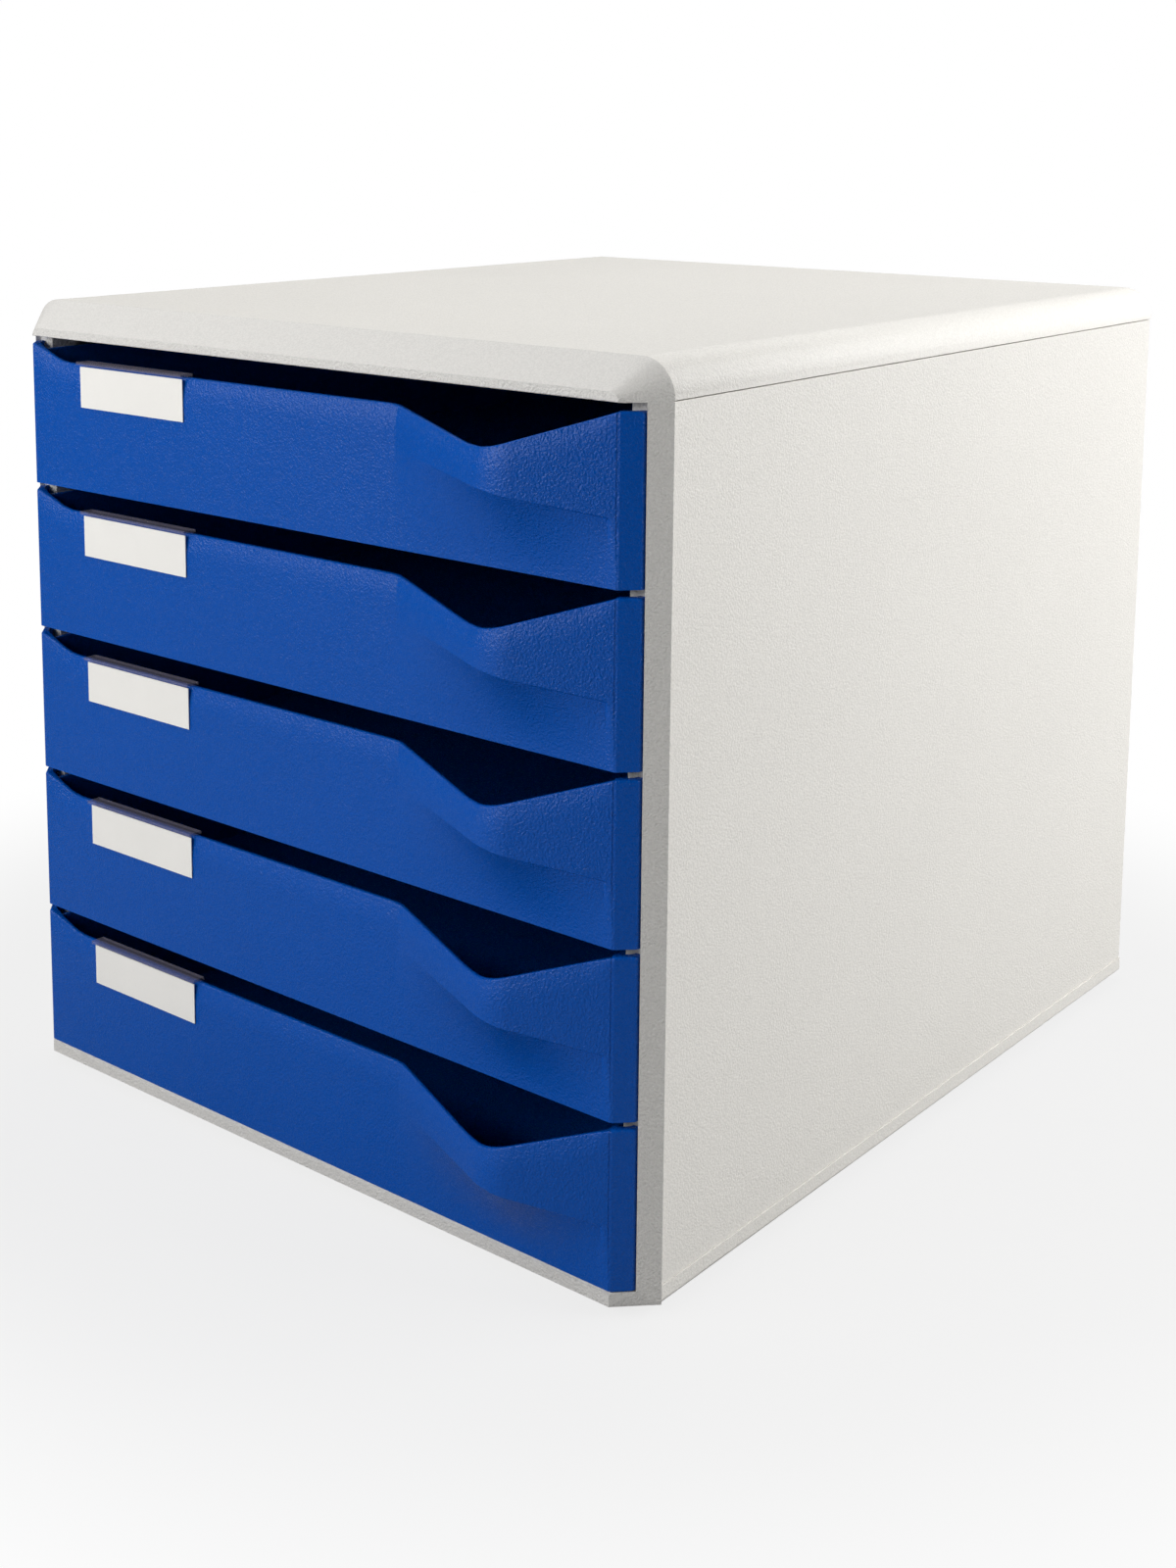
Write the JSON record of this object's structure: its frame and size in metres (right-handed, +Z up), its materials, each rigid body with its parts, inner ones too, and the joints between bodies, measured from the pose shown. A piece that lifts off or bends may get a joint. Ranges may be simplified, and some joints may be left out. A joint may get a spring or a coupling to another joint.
{
  "type": "desktop drawer unit",
  "caption": "Closed desktop casing with a bevelled front frame and sliding drawers, each with a dipped upper edge, a bulged finger grip at the right and a clear label holder at the left.",
  "frame": {"origin": "middle of the bounding rectangle, on the surface that the feet stand on", "axes": "+X to the right of a viewer who faces the fronts, +Y from the fronts to the rear, +Z up"},
  "size_m": [0.291, 0.3522, 0.291],
  "materials": {
    "frame_paint": "fine moulded grain",
    "casing": "fine moulded grain",
    "foot_rubber": "matte",
    "drawer_plastic": "fine moulded grain",
    "clear_plastic": "clear smooth plastic",
    "card": "plain white card"
  },
  "bodies": {
    "casing": {"front_frame": "frame_paint", "top_cover": "casing", "base": "casing", "side_panel_left": "casing", "side_panel_right": "casing", "rear_panel": "casing", "foot_1": "foot_rubber", "foot_2": "foot_rubber", "foot_3": "foot_rubber", "foot_4": "foot_rubber"},
    "tray_1": {"drawer_1": "drawer_plastic", "label_holder_1": "clear_plastic", "label_card_1": "card"},
    "tray_2": {"drawer_2": "drawer_plastic", "label_holder_2": "clear_plastic", "label_card_2": "card"},
    "tray_3": {"drawer_3": "drawer_plastic", "label_holder_3": "clear_plastic", "label_card_3": "card"},
    "tray_4": {"drawer_4": "drawer_plastic", "label_holder_4": "clear_plastic", "label_card_4": "card"},
    "tray_5": {"drawer_5": "drawer_plastic", "label_holder_5": "clear_plastic", "label_card_5": "card"}
  },
  "joints": [
    {"name": "drawer_1_slide", "type": "slide", "parent": "casing", "child": "tray_1", "axis": [0, -1, 0], "range_m": [0, 0.255]},
    {"name": "drawer_2_slide", "type": "slide", "parent": "casing", "child": "tray_2", "axis": [0, -1, 0], "range_m": [0, 0.255]},
    {"name": "drawer_3_slide", "type": "slide", "parent": "casing", "child": "tray_3", "axis": [0, -1, 0], "range_m": [0, 0.255]},
    {"name": "drawer_4_slide", "type": "slide", "parent": "casing", "child": "tray_4", "axis": [0, -1, 0], "range_m": [0, 0.255]},
    {"name": "drawer_5_slide", "type": "slide", "parent": "casing", "child": "tray_5", "axis": [0, -1, 0], "range_m": [0, 0.255]}
  ]
}
